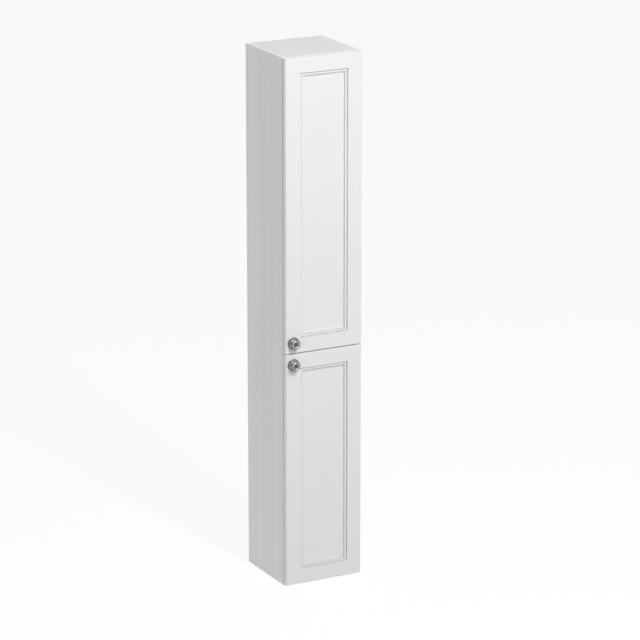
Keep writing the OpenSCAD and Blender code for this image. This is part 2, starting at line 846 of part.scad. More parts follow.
module knob(z) {
    r = knob_d / 2;
    neck = neck_d / 2;
    bore = knob_screw_r + hole_fit;
    bore_end = rose_t + knob_screw_bite + 1;
    shoulder_z = knob_l - shoulder_drop;
    back_z = shoulder_z - rim_t;
    ring_r = (r - shoulder_w - dish_d / 2) / 2;
    ring_c = [r - shoulder_w - ring_r, knob_l - ring_r];
    on_door(z) rotate_extrude()
        polygon(concat(
            [[0, bore_end], [bore, bore_end], [bore, rose_t], [neck, rose_t]],
            arc([neck + 3, back_z - 3], 3, 180, 90, 5),
            [[r - 2.5, back_z]],
            arc([r - 2, back_z + 2], 2, 285, 360, 5),
            arc([r - 1, shoulder_z - 1], 1, 0, 90, 4),
            arc(ring_c, ring_r, asin((shoulder_z - ring_c[1]) / ring_r), 150, 8),
            [[dish_d / 2, knob_l - dish_depth + 0.6], [dish_d / 2 - 1, knob_l - dish_depth],
             [0, knob_l - dish_depth]]));
}

module knob_screw(z) {
    translate([knob_x, door_back_y, z]) difference() {
        union() {
            bar_y([0, -door_t - rose_t - knob_screw_bite, 0], knob_screw_r,
                  door_t + rose_t + knob_screw_bite);
            bar_y([0, 0, 0], knob_head_r, knob_head_t);
        }
        translate([0, knob_head_t, 0]) for (a = [0, 90])
            rotate([0, a, 0]) cube([knob_head_r * 1.3, 1.6, knob_head_r * 0.3], center = true);
    }
}

module bumpers(span)
    for (z = [span[0] + bumper_end, span[1] - bumper_end])
        bar_y([-door_w / 2 + bumper_in, door_back_y, z], bumper_d / 2, door_gap - bumper_fit);

module upper_hinge_arm_high() { color(nickel) hinge_arm(upper_hinges[1]); }
module upper_hinge_arm_low() { color(nickel) hinge_arm(upper_hinges[0]); }
module lower_hinge_arm_high() { color(nickel) hinge_arm(lower_hinges[1]); }
module lower_hinge_arm_low() { color(nickel) hinge_arm(lower_hinges[0]); }
module upper_hinge_plate_high() { color(zinc) hinge_plate(upper_hinges[1]); }
module upper_hinge_plate_low() { color(zinc) hinge_plate(upper_hinges[0]); }
module lower_hinge_plate_high() { color(zinc) hinge_plate(lower_hinges[1]); }
module lower_hinge_plate_low() { color(zinc) hinge_plate(lower_hinges[0]); }

module upper_door_hinge_stile() { color(door_white) hinge_stile(upper_span, upper_hinges); }
module upper_door_knob_stile() { color(door_white) knob_stile(upper_span, upper_knob_z); }
module upper_door_top_rail() { color(door_white) rail(upper_span, upper_span[1] - frame_w); }
module upper_door_bottom_rail() { color(door_white) rail(upper_span, upper_span[0]); }
module upper_door_panel() { color(door_white) infill(upper_span); }
module upper_door_beads() { color(door_white) beads(upper_span); }
module upper_hinge_cup_high() { color(nickel) hinge_cup(upper_hinges[1]); }
module upper_hinge_cup_low() { color(nickel) hinge_cup(upper_hinges[0]); }
module upper_hinge_pins() { color(zinc) hinge_pins(upper_hinges); }
module upper_cup_screws() { color(zinc) for (z = upper_hinges) cup_screw_pair(z, 0); }
module upper_knob_rose() { color(pewter) rose(upper_knob_z); }
module upper_knob() { color(pewter) knob(upper_knob_z); }
module upper_knob_screw() { color(zinc) knob_screw(upper_knob_z); }
module upper_bumpers() { color(clear_grey) bumpers(upper_span); }

module lower_door_hinge_stile() { color(door_white) hinge_stile(lower_span, lower_hinges); }
module lower_door_knob_stile() { color(door_white) knob_stile(lower_span, lower_knob_z); }
module lower_door_top_rail() { color(door_white) rail(lower_span, lower_span[1] - frame_w); }
module lower_door_bottom_rail() { color(door_white) rail(lower_span, lower_span[0]); }
module lower_door_panel() { color(door_white) infill(lower_span); }
module lower_door_beads() { color(door_white) beads(lower_span); }
module lower_hinge_cup_high() { color(nickel) hinge_cup(lower_hinges[1]); }
module lower_hinge_cup_low() { color(nickel) hinge_cup(lower_hinges[0]); }
module lower_hinge_pins() { color(zinc) hinge_pins(lower_hinges); }
module lower_cup_screws() { color(zinc) for (z = lower_hinges) cup_screw_pair(z, 0); }
module lower_knob_rose() { color(pewter) rose(lower_knob_z); }
module lower_knob() { color(pewter) knob(lower_knob_z); }
module lower_knob_screw() { color(zinc) knob_screw(lower_knob_z); }
module lower_bumpers() { color(clear_grey) bumpers(lower_span); }

left_side_panel();
right_side_panel();
top_panel();
bottom_panel();
middle_panel();
back_panel();
lower_fixing_rail();
wall_rail();
left_hanger();
right_hanger();
left_hanger_hook();
right_hanger_hook();
hanger_adjusters();
lower_shelf();
upper_shelf_low();
upper_shelf_high();
shelf_pins();
cam_bolts();
cam_locks();
dowels();
side_screws();
arm_screws();
upper_hinge_arm_high();
upper_hinge_arm_low();
lower_hinge_arm_high();
lower_hinge_arm_low();
upper_hinge_plate_high();
upper_hinge_plate_low();
lower_hinge_plate_high();
lower_hinge_plate_low();
upper_door_hinge_stile();
upper_door_knob_stile();
upper_door_top_rail();
upper_door_bottom_rail();
upper_door_panel();
upper_door_beads();
upper_hinge_cup_high();
upper_hinge_cup_low();
upper_hinge_pins();
upper_cup_screws();
upper_knob_rose();
upper_knob();
upper_knob_screw();
upper_bumpers();
lower_door_hinge_stile();
lower_door_knob_stile();
lower_door_top_rail();
lower_door_bottom_rail();
lower_door_panel();
lower_door_beads();
lower_hinge_cup_high();
lower_hinge_cup_low();
lower_hinge_pins();
lower_cup_screws();
lower_knob_rose();
lower_knob();
lower_knob_screw();
lower_bumpers();
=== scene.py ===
import json
import math

import bmesh
import bpy
from mathutils import Matrix, Vector


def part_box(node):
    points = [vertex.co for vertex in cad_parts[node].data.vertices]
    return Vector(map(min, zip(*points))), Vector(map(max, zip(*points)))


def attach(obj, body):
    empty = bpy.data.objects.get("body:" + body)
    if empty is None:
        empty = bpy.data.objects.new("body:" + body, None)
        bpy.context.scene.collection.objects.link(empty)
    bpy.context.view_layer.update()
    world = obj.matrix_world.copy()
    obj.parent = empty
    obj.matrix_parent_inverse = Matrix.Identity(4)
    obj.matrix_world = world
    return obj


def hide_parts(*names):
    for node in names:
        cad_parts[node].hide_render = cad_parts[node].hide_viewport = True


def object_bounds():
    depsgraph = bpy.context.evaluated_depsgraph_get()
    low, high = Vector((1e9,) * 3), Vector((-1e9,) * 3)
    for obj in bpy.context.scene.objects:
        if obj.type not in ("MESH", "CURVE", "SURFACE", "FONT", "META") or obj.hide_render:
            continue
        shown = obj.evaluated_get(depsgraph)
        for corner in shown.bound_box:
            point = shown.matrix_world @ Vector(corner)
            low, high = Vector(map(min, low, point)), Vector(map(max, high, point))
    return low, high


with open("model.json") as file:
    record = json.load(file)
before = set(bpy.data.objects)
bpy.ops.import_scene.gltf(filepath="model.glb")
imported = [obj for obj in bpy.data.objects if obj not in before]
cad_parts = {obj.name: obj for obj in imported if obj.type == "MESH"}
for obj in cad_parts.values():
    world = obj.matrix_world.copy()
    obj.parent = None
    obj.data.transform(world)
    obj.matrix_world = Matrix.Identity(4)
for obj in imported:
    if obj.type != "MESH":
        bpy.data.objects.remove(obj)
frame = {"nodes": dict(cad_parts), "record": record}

cadLow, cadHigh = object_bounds()
cadNodes = frame["nodes"]
scene = bpy.context.scene
mm = 0.001
print("cabinet frame loaded:", len(cadNodes), "nodes")


# Node trees

def addNode(tree, kind, inputs=None, **settings):
    node = tree.nodes.new(kind)
    for name, value in settings.items():
        setattr(node, name, value)
    for key, value in (inputs or {}).items():
        if isinstance(value, bpy.types.NodeSocket):
            tree.links.new(value, node.inputs[key])
        else:
            node.inputs[key].default_value = value
    return node


def addMath(tree, operation, first, second=0.0, **settings):
    return addNode(tree, "ShaderNodeMath", {0: first, 1: second}, operation=operation,
                   **settings).outputs[0]


def swingOf(tree, noise, amount):
    return addMath(tree, "MULTIPLY", addMath(tree, "SUBTRACT", noise, 0.5), amount)


def scaledTone(tree, tone, swing):
    return addNode(tree, "ShaderNodeVectorMath",
                   {0: tone, "Scale": addMath(tree, "ADD", swing, 1.0)},
                   operation="SCALE").outputs[0]


def mixedTone(tree, factor, first, second):
    return addNode(tree, "ShaderNodeMix", {0: factor, 6: first, 7: second},
                   data_type="RGBA").outputs[2]    # 6, 7 and 2 are its colour sockets


def rampOf(tree, value, low, high, top=1.0):
    return addNode(tree, "ShaderNodeMapRange",
                   {"Value": value, "From Min": low, "From Max": high, "To Min": 0.0,
                    "To Max": top}).outputs[0]


def seenRays(tree):
    path = addNode(tree, "ShaderNodeLightPath").outputs
    return addMath(tree, "ADD", addMath(tree, "ADD", path["Is Camera Ray"],
                                        path["Is Glossy Ray"]),
                   path["Is Transmission Ray"], use_clamp=True)


def newTree(name, kind, ins, outs):
    tree = bpy.data.node_groups.new(name, kind)
    for label, (socketType, value) in ins.items():
        socket = tree.interface.new_socket(name=label, in_out="INPUT",
                                           socket_type="NodeSocket" + socketType)
        if value is not None:
            socket.default_value = value
    for label, socketType in outs.items():
        tree.interface.new_socket(name=label, in_out="OUTPUT",
                                  socket_type="NodeSocket" + socketType)
    return tree, tree.nodes.new("NodeGroupInput").outputs, tree.nodes.new("NodeGroupOutput").inputs


def setOutputs(tree, leave, values):
    for label, socket in values.items():
        tree.links.new(socket, leave[label])


# Shader groups that several finishes share

def noiseAt(tree, scale, detail=3.0, roughness=0.55, stretch=None):
    place = addNode(tree, "ShaderNodeTexCoord").outputs["Object"]
    if stretch is not None:
        place = addNode(tree, "ShaderNodeVectorMath", {0: place, 1: stretch},
                        operation="MULTIPLY").outputs[0]
    return addNode(tree, "ShaderNodeTexNoise",
                   {"Vector": place, "Scale": scale, "Detail": detail, "Roughness": roughness})


def makeFoilGrain():
    tree, enter, leave = newTree(
        "foilGrain", "ShaderNodeTree",
        {"Tone": ("Color", (0.85, 0.85, 0.845, 1)), "Run": ("Vector", (60, 60, 1.1)),
         "Depth": ("Float", 0.05), "Gloss": ("Float", 0.42)},
        {"Color": "Color", "Roughness": "Float", "Height": "Float"})
    broad = noiseAt(tree, 1.0, detail=2.5, roughness=0.5, stretch=enter["Run"]).outputs[0]
    fine = noiseAt(tree, 5.5, detail=4.0, roughness=0.6, stretch=enter["Run"]).outputs[0]
    both = addMath(tree, "ADD", addMath(tree, "MULTIPLY", broad, 0.6),
                   addMath(tree, "MULTIPLY", fine, 0.4))
    shade = scaledTone(tree, enter["Tone"], swingOf(tree, both, enter["Depth"]))
    gloss = addMath(tree, "ADD", enter["Gloss"], swingOf(tree, fine, amount=0.12))
    setOutputs(tree, leave, {"Color": shade, "Roughness": gloss, "Height": fine})
    return tree


def makePaintSkin():
    tree, enter, leave = newTree(
        "paintSkin", "ShaderNodeTree",
        {"Tone": ("Color", (0.88, 0.88, 0.875, 1)), "Mottle": ("Float", 0.015),
         "Gloss": ("Float", 0.34)},
        {"Color": "Color", "Roughness": "Float", "Height": "Float"})
    cloud = noiseAt(tree, 6.0, detail=2.0).outputs[0]
    peel = noiseAt(tree, 420.0, detail=2.0, roughness=0.4).outputs[0]
    shade = scaledTone(tree, enter["Tone"], swingOf(tree, cloud, enter["Mottle"]))
    gloss = addMath(tree, "ADD", enter["Gloss"], swingOf(tree, cloud, amount=0.1))
    setOutputs(tree, leave, {"Color": shade, "Roughness": gloss, "Height": peel})
    return tree


def makeRestingDust():
    tree, enter, leave = newTree("restingDust", "ShaderNodeTree",
                                 {"Amount": ("Float", 0.3), "Patch": ("Float", 30.0)},
                                 {"Mask": "Float"})
    up = addNode(tree, "ShaderNodeSeparateXYZ",
                 {0: addNode(tree, "ShaderNodeNewGeometry").outputs["Normal"]}).outputs[2]
    level = rampOf(tree, up, 0.75, 1.0)
    patch = noiseAt(tree, enter["Patch"], detail=5.0, roughness=0.7).outputs[0]
    speck = rampOf(tree, patch, 0.35, 0.75)
    mask = addMath(tree, "MULTIPLY", addMath(tree, "MULTIPLY", level, speck), enter["Amount"])
    setOutputs(tree, leave, {"Mask": mask})
    return tree


def makePlatedMetal():
    tree, enter, leave = newTree(
        "platedMetal", "ShaderNodeTree",
        {"Tone": ("Color", (0.6, 0.6, 0.59, 1)), "Run": ("Vector", (900, 900, 40)),
         "Gloss": ("Float", 0.3), "Rub": ("Float", 0.2)},
        {"Color": "Color", "Roughness": "Float", "Height": "Float"})
    line = noiseAt(tree, 1.0, roughness=0.6, stretch=enter["Run"]).outputs[0]
    cloud = noiseAt(tree, 90.0).outputs[0]
    sharp = addNode(tree, "ShaderNodeNewGeometry").outputs["Pointiness"]
    edge = rampOf(tree, sharp, 0.5, 0.6, top=enter["Rub"])
    shade = scaledTone(tree, enter["Tone"],
                       addMath(tree, "ADD", swingOf(tree, cloud, amount=0.3), edge))
    gloss = addMath(tree, "ADD", enter["Gloss"], swingOf(tree, line, amount=0.25))
    setOutputs(tree, leave, {"Color": shade, "Roughness": gloss, "Height": line})
    return tree


# Knob and rose colour: dark patina in the hollows, plus painted shade on the head's outer side
# wall; the low tones also stand in for dark reflections that the white studio lacks
def makePatinaAndPaintedShade():
    tree, enter, leave = newTree(
        "agedRelief", "ShaderNodeTree",
        {"High": ("Color", (0.43, 0.43, 0.42, 1)), "Low": ("Color", (0.12, 0.12, 0.122, 1)),
         "Gloss": ("Float", 0.34)},
        {"Color": "Color", "Roughness": "Float", "Height": "Float"})
    relief = addNode(tree, "ShaderNodeAttribute", attribute_name="relief").outputs["Fac"]
    blot = noiseAt(tree, 260.0, detail=4.0, roughness=0.65).outputs[0]
    grain = noiseAt(tree, 1500.0, detail=2.0, roughness=0.5).outputs[0]
    patinaAndShadeMask = addMath(tree, "ADD", relief, swingOf(tree, blot, amount=0.45), use_clamp=True)
    shade = mixedTone(tree, patinaAndShadeMask, enter["Low"], enter["High"])
    dull = addMath(tree, "MULTIPLY", addMath(tree, "SUBTRACT", 1.0, patinaAndShadeMask), 0.3)
    gloss = addMath(tree, "ADD", enter["Gloss"], dull)
    setOutputs(tree, leave, {"Color": shade, "Roughness": gloss, "Height": grain})
    return tree


def makeBoardCore():
    tree, enter, leave = newTree(
        "boardCore", "ShaderNodeTree",
        {"Pale": ("Color", (0.56, 0.44, 0.29, 1)), "Dark": ("Color", (0.26, 0.18, 0.1, 1)),
         "Chip": ("Float", 420.0)},
        {"Color": "Color", "Height": "Float"})
    place = addNode(tree, "ShaderNodeTexCoord").outputs["Object"]
    chips = addNode(tree, "ShaderNodeTexVoronoi", {"Vector": place, "Scale": enter["Chip"]})
    tint = addNode(tree, "ShaderNodeSeparateColor", {0: chips.outputs["Color"]}).outputs[0]
    shade = mixedTone(tree, tint, enter["Pale"], enter["Dark"])
    setOutputs(tree, leave, {"Color": shade, "Height": chips.outputs["Distance"]})
    return tree


def makeNylonSkin():
    tree, enter, leave = newTree(
        "nylonSkin", "ShaderNodeTree",
        {"Tone": ("Color", (0.78, 0.78, 0.77, 1)), "Gloss": ("Float", 0.4)},
        {"Color": "Color", "Roughness": "Float", "Height": "Float"})
    flow = noiseAt(tree, 55.0, detail=2.0).outputs[0]
    spark = noiseAt(tree, 1800.0, detail=2.0).outputs[0]
    shade = scaledTone(tree, enter["Tone"], swingOf(tree, flow, amount=0.08))
    gloss = addMath(tree, "ADD", enter["Gloss"], swingOf(tree, flow, amount=0.2))
    setOutputs(tree, leave, {"Color": shade, "Roughness": gloss, "Height": spark})
    return tree


foilGrain = makeFoilGrain()
paintSkin = makePaintSkin()
restingDust = makeRestingDust()
platedMetal = makePlatedMetal()
agedRelief = makePatinaAndPaintedShade()
boardCore = makeBoardCore()
nylonSkin = makeNylonSkin()


dustTone = (0.62, 0.6, 0.57, 1)


def makeFinish(name, group, values, bump=0.1, depth=0.1 * mm, dust=None, **shader):
    material = bpy.data.materials.new(name)
    material.use_nodes = True
    tree = material.node_tree
    surface = tree.nodes["Principled BSDF"]
    skin = addNode(tree, "ShaderNodeGroup", node_tree=group)
    for label, value in values.items():
        skin.inputs[label].default_value = value
    color = skin.outputs["Color"]
    if dust:
        rest = addNode(tree, "ShaderNodeGroup", node_tree=restingDust)
        rest.inputs["Amount"].default_value = dust
        color = mixedTone(tree, rest.outputs["Mask"], color, dustTone)
    tree.links.new(color, surface.inputs["Base Color"])
    if "Roughness" in skin.outputs:
        tree.links.new(skin.outputs["Roughness"], surface.inputs["Roughness"])
    relief = addNode(tree, "ShaderNodeBump", {"Height": skin.outputs["Height"],
                                              "Strength": bump, "Distance": depth})
    tree.links.new(relief.outputs["Normal"], surface.inputs["Normal"])
    for label, value in shader.items():
        surface.inputs[label.replace("_", " ")].default_value = value
    return material


upright = (60, 60, 1.1)    # grain scale across and along, per metre
crosswise = (1.1, 60, 60)
outerFoil = makeFinish("outerFoil", foilGrain,
                       {"Tone": (0.9, 0.9, 0.9, 1), "Run": (34, 34, 0.5), "Depth": 0.28,
                        "Gloss": 0.45}, dust=0.12)
# the sides' foil on the top and bottom boards, painted a shade darker (tone 0.86 against 0.9):
# painted shade
outerFoilFlat = makeFinish("outerFoilFlat", foilGrain,
                           {"Tone": (0.86, 0.86, 0.86, 1), "Run": crosswise, "Depth": 0.06,
                            "Gloss": 0.45}, dust=0.15)
innerFoil = makeFinish("innerFoil", foilGrain,
                       {"Tone": (0.86, 0.86, 0.85, 1), "Run": crosswise, "Depth": 0.05,
                        "Gloss": 0.5}, dust=0.12)
backFoil = makeFinish("backFoil", foilGrain,
                      {"Tone": (0.84, 0.84, 0.83, 1), "Run": upright, "Depth": 0.05, "Gloss": 0.55})
doorPaint = makeFinish("doorPaint", paintSkin,
                       {"Tone": (0.9, 0.9, 0.9, 1), "Mottle": 0.02, "Gloss": 0.34},
                       bump=0.05, dust=0.08)
rawCore = makeFinish("rawCore", boardCore, {}, bump=0.4, depth=0.3 * mm, Roughness=0.85)
hingeNickel = makeFinish("hingeNickel", platedMetal,
                         {"Tone": (0.62, 0.62, 0.6, 1), "Gloss": 0.28}, Metallic=1.0)
zincSteel = makeFinish("zincSteel", platedMetal,
                       {"Tone": (0.64, 0.66, 0.68, 1), "Gloss": 0.36, "Rub": 0.15,
                        "Run": (300, 300, 300)}, Metallic=1.0)
agedPewter = makeFinish("agedPewter", agedRelief, {}, bump=0.15, depth=0.05 * mm, Metallic=1.0)
hangerNylon = makeFinish("hangerNylon", nylonSkin, {"Tone": (0.8, 0.8, 0.79, 1)},
                         bump=0.15, depth=0.05 * mm)
clearPad = makeFinish("clearPad", nylonSkin, {"Tone": (0.76, 0.77, 0.78, 1), "Gloss": 0.3},
                      bump=0.1, depth=0.05 * mm, Transmission_Weight=0.5, IOR=1.45)
beechWood = makeFinish("beechWood", foilGrain,
                       {"Tone": (0.6, 0.44, 0.27, 1), "Run": (12, 700, 700), "Depth": 0.5,
                        "Gloss": 0.6}, bump=0.3)
print("finishes made")


# Pieces

def addPiece(name, mesh, body, slotName, *replaced):
    piece = bpy.data.objects.new(name, mesh)
    mesh.name = name
    scene.collection.objects.link(piece)
    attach(piece, body)
    if replaced:
        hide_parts(*replaced)
    return piece


def plainMesh(seed):
    depsgraph = bpy.context.evaluated_depsgraph_get()
    mesh = bpy.data.meshes.new_from_object(seed.evaluated_get(depsgraph),
                                           preserve_all_data_layers=True, depsgraph=depsgraph)
    seed.modifiers.clear()
    bpy.data.objects.remove(seed)
    return mesh


def seedObject(mesh):
    seed = bpy.data.objects.new("seed", mesh)
    scene.collection.objects.link(seed)
    return seed


def growMesh(tree, mesh, settings):
    seed = seedObject(mesh)
    modifier = seed.modifiers.new(tree.name, "NODES")
    modifier.node_group = tree
    sockets = {item.name: item.identifier for item in tree.interface.items_tree
               if item.item_type == "SOCKET" and item.in_out == "INPUT"}
    for label, value in settings.items():
        modifier[sockets[label]] = value
    return plainMesh(seed)


def mergedCopy(node):
    shape = bmesh.new()
    shape.from_mesh(cadNodes[node].data)
    bmesh.ops.remove_doubles(shape, verts=shape.verts, dist=0.002 * mm)
    return shape


def solidBoxes(node):
    shape = mergedCopy(node)
    boxes, seen = [], set()
    for start in shape.verts:
        if start in seen:
            continue
        group, waiting = [], [start]
        seen.add(start)
        while waiting:
            vert = waiting.pop()
            group.append(vert.co.copy())
            for edge in vert.link_edges:
                other = edge.other_vert(vert)
                if other not in seen:
                    seen.add(other)
                    waiting.append(other)
        boxes.append((Vector(map(min, zip(*group))), Vector(map(max, zip(*group)))))
    shape.free()
    return boxes


def softened(node, width, segments, materials, pickMaterial=None, shortest=6.0, softAngle=40,
             flatAngle=0.5):
    shape = mergedCopy(node)
    bmesh.ops.dissolve_limit(shape, angle_limit=math.radians(flatAngle), verts=shape.verts,
                             edges=shape.edges)
    weight = shape.edges.layers.float.new("bevel_weight_edge")
    for face in shape.faces:
        face.smooth = True
        if pickMaterial:
            face.material_index = pickMaterial(face)
    for edge in shape.edges:
        turn = edge.calc_face_angle(0.0)
        if turn > math.radians(softAngle):
            if edge.is_convex and edge.calc_length() > shortest * mm and width:
                edge[weight] = 1.0
            else:
                edge.smooth = False
    mesh = bpy.data.meshes.new(node)
    shape.to_mesh(mesh)
    shape.free()
    for material in materials:
        mesh.materials.append(material)
    seed = seedObject(mesh)
    if width:
        bevel = seed.modifiers.new("bevel", "BEVEL")
        bevel.width, bevel.segments, bevel.limit_method = width * mm, segments, "WEIGHT"
        bevel.use_clamp_overlap, bevel.harden_normals = True, False
    level = seed.modifiers.new("level", "WEIGHTED_NORMAL")
    level.keep_sharp, level.weight = True, 80
    return plainMesh(seed)


boardLook = {
    "arris": 0.3,       # radius of a board's straight edges, mm
    "segments": 2,
    "skin": 0.05,       # how far inside the board's box a face counts as cut into its core, mm
    "rear": 0.1,        # how near the wall a face counts as a raw rear edge, mm
    "thin": 20,         # a board thinner than this towards the wall turns a foiled face to it, mm
}


def boardPicker(node):
    low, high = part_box(node)
    edgeOn = high[1] - low[1] > boardLook["thin"] * mm
    skin, reach = boardLook["skin"] * mm, boardLook["rear"] * mm

    def pick(face):
        centre = face.calc_center_median()
        inside = all(low[i] + skin < centre[i] < high[i] - skin for i in range(3))
        rear = edgeOn and face.normal.y > 0.9 and abs(centre.y) < reach
        return 1 if inside or rear else 0
    return pick


boards = {
    "left_side_panel": ("leftSide", outerFoil, "carcass_board"),
    "right_side_panel": ("rightSide", outerFoil, "carcass_board"),
    "top_panel": ("topBoard", outerFoilFlat, "carcass_board"),
    "bottom_panel": ("bottomBoard", outerFoilFlat, "carcass_board"),
    "middle_panel": ("middleBoard", innerFoil, "inner_board"),
    "back_panel": ("backBoard", backFoil, "inner_board"),
    "lower_fixing_rail": ("lowerFixingRail", innerFoil, "inner_board"),
    "lower_shelf": ("lowerShelf", innerFoil, "inner_board"),
    "upper_shelf_low": ("upperShelfLow", innerFoil, "inner_board"),
    "upper_shelf_high": ("upperShelfHigh", innerFoil, "inner_board"),
}
for node, (name, finish, slotName) in boards.items():
    mesh = softened(node, boardLook["arris"], boardLook["segments"], [finish, rawCore],
                    boardPicker(node))
    addPiece(name, mesh, "carcass", slotName, node)
print("boards made")

doorParts = {"door_hinge_stile": "HingeStile", "door_knob_stile": "KnobStile",
             "door_top_rail": "TopRail", "door_bottom_rail": "BottomRail",
             "door_panel": "FlatPanel"}
for side in ("upper", "lower"):
    for part, label in doorParts.items():
        node = f"{side}_{part}"
        mesh = softened(node, 0, 1, [doorPaint])
        addPiece(f"{side}{label}", mesh, f"{side}_door", "door_board", node)
print("doors made")

metalLook = {
    "stamped": 0.35, "moulded": 0.8,            # edge radii, mm
    "hingeShortest": 1.0, "wallShortest": 2.5,  # shortest edge that is rounded, mm
    "segments": 2,
}
for body, members in frame["record"]["behaviour"]["bodies"].items():
    for node in members:
        if not any(kind in node for kind in ("hinge_arm", "hinge_plate", "hinge_cup")):
            continue
        words = node.split("_")
        name = words[0] + "".join(w.capitalize() for w in words[1:])
        finish, slotName = ((zincSteel, "zinc_steel") if "plate" in node
                            else (hingeNickel, "hinge_nickel"))
        mesh = softened(node, metalLook["stamped"], metalLook["segments"], [finish],
                        shortest=metalLook["hingeShortest"])
        addPiece(name, mesh, body, slotName, node)
for node, name, width, finish, slotName in (
        ("wall_rail", "wallRail", metalLook["stamped"], zincSteel, "zinc_steel"),
        ("left_hanger", "leftHanger", metalLook["moulded"], hangerNylon, "hanger_plastic"),
        ("right_hanger", "rightHanger", metalLook["moulded"], hangerNylon, "hanger_plastic"),
        ("left_hanger_hook", "leftHangerHook", metalLook["stamped"], zincSteel, "zinc_steel"),
        ("right_hanger_hook", "rightHangerHook", metalLook["stamped"], zincSteel, "zinc_steel")):
    mesh = softened(node, width, metalLook["segments"], [finish],
                    shortest=metalLook["wallShortest"])
    addPiece(name, mesh, "carcass", slotName, node)
print("hinges and wall fixings made")


# Geometry Nodes: the end that every tree shares

def addFinish(tree, geometry, finish):
    real = addNode(tree, "GeometryNodeRealizeInstances", {"Geometry": geometry}).outputs[0]
    return addNode(tree, "GeometryNodeSetMaterial",
                   {"Geometry": real, "Material": finish}).outputs[0]


def addCreases(tree, geometry, crease):
    smooth = addNode(tree, "GeometryNodeSetShadeSmooth",
                     {"Geometry": geometry, "Shade Smooth": True}).outputs[0]
    angle = addNode(tree, "GeometryNodeInputMeshEdgeAngle").outputs[0]
    sharp = addNode(tree, "FunctionNodeCompare", {0: angle, 1: crease},
                    data_type="FLOAT", operation="GREATER_THAN").outputs[0]
    return addNode(tree, "GeometryNodeSetShadeSmooth",
                   {"Geometry": smooth, "Selection": sharp, "Shade Smooth": False},
                   domain="EDGE").outputs[0]


# Geometry Nodes: a turned part from its half profile, with an optional cross recess

def makeTurnedPart():
    tree, enter, leave = newTree(
        "turnedPart", "GeometryNodeTree",
        {"Geometry": ("Geometry", None), "Segments": ("Int", 48), "Cut Recess": ("Bool", False),
         "Recess Reach": ("Float", 2 * mm), "Recess Width": ("Float", 0.8 * mm),
         "Recess Depth": ("Float", 1 * mm), "Crease Angle": ("Float", 0.6),
         "Finish": ("Material", None)}, {"Geometry": "Geometry"})
    profile = enter["Geometry"]
    count = addNode(tree, "GeometryNodeAttributeDomainSize", {0: profile}).outputs[0]
    grid = addNode(tree, "GeometryNodeMeshGrid",
                   {"Size X": 1.0, "Size Y": 1.0,
                    "Vertices X": addMath(tree, "ADD", enter["Segments"], 1.0),
                    "Vertices Y": count}).outputs["Mesh"]
    place = addNode(tree, "GeometryNodeInputPosition").outputs[0]
    spot = addNode(tree, "ShaderNodeSeparateXYZ", {0: place}).outputs
    turn = addMath(tree, "MULTIPLY", addMath(tree, "ADD", spot[0], 0.5), 2 * math.pi)
    row = addMath(tree, "ROUND", addMath(tree, "MULTIPLY", addMath(tree, "ADD", spot[1], 0.5),
                                         addMath(tree, "SUBTRACT", count, 1.0)))
    # relief carries the knob's patina and painted shade from the profile onto the turned mesh
    relief = addNode(tree, "GeometryNodeInputNamedAttribute", {0: "relief"},
                     data_type="FLOAT").outputs[0]
    highs = addNode(tree, "GeometryNodeSampleIndex",
                    {"Geometry": profile, "Value": relief, "Index": row},
                    data_type="FLOAT", domain="POINT").outputs[0]
    marked = addNode(tree, "GeometryNodeStoreNamedAttribute",
                     {"Geometry": grid, "Name": "relief", "Value": highs},
                     data_type="FLOAT", domain="POINT").outputs[0]
    point = addNode(tree, "GeometryNodeSampleIndex",
                    {"Geometry": profile, "Value": place, "Index": row},
                    data_type="FLOAT_VECTOR", domain="POINT").outputs[0]
    half = addNode(tree, "ShaderNodeSeparateXYZ", {0: point}).outputs
    ring = addNode(tree, "ShaderNodeCombineXYZ",
                   {0: addMath(tree, "MULTIPLY", half[0], addMath(tree, "COSINE", turn)),
                    1: addMath(tree, "MULTIPLY", half[0], addMath(tree, "SINE", turn)),
                    2: half[2]}).outputs[0]
    turned = addNode(tree, "GeometryNodeSetPosition",
                     {"Geometry": marked, "Position": ring}).outputs[0]
    closed = addNode(tree, "GeometryNodeMergeByDistance",
                     {"Geometry": turned, "Distance": 0.001 * mm}).outputs[0]
    box = addNode(tree, "ShaderNodeCombineXYZ",
                  {0: addMath(tree, "MULTIPLY", enter["Recess Reach"], 2.0),
                   1: enter["Recess Width"],
                   2: addMath(tree, "MULTIPLY", enter["Recess Depth"], 2.0)}).outputs[0]
    bar = addNode(tree, "GeometryNodeMeshCube", {"Size": box}).outputs["Mesh"]
    low = addMath(tree, "LESS_THAN", spot[2], 0.0)
    narrow = addMath(tree, "SUBTRACT", 1.0, addMath(tree, "MULTIPLY", low, 0.5))
    taper = addNode(tree, "ShaderNodeCombineXYZ",
                    {0: addMath(tree, "MULTIPLY", spot[0], narrow),
                     1: addMath(tree, "MULTIPLY", spot[1], narrow), 2: spot[2]}).outputs[0]
    cutter = addNode(tree, "GeometryNodeSetPosition",
                     {"Geometry": bar, "Position": taper}).outputs[0]
    crossed = addNode(tree, "GeometryNodeTransform",
                      {"Geometry": cutter, "Rotation": (0, 0, math.pi / 2)}).outputs[0]
    cross = addNode(tree, "GeometryNodeMeshBoolean", operation="DIFFERENCE")
    tree.links.new(closed, cross.inputs["Mesh 1"])
    tree.links.new(cutter, cross.inputs["Mesh 2"])
    tree.links.new(crossed, cross.inputs["Mesh 2"])
    chosen = addNode(tree, "GeometryNodeSwitch",
                     {"Switch": enter["Cut Recess"], "False": closed,
                      "True": cross.outputs["Mesh"]}, input_type="GEOMETRY").outputs[0]
    creased = addCreases(tree, chosen, enter["Crease Angle"])
    setOutputs(tree, leave, {"Geometry": addFinish(tree, creased, enter["Finish"])})
    return tree


# Geometry Nodes: copies of a part on points, each with its own way to face and to stand

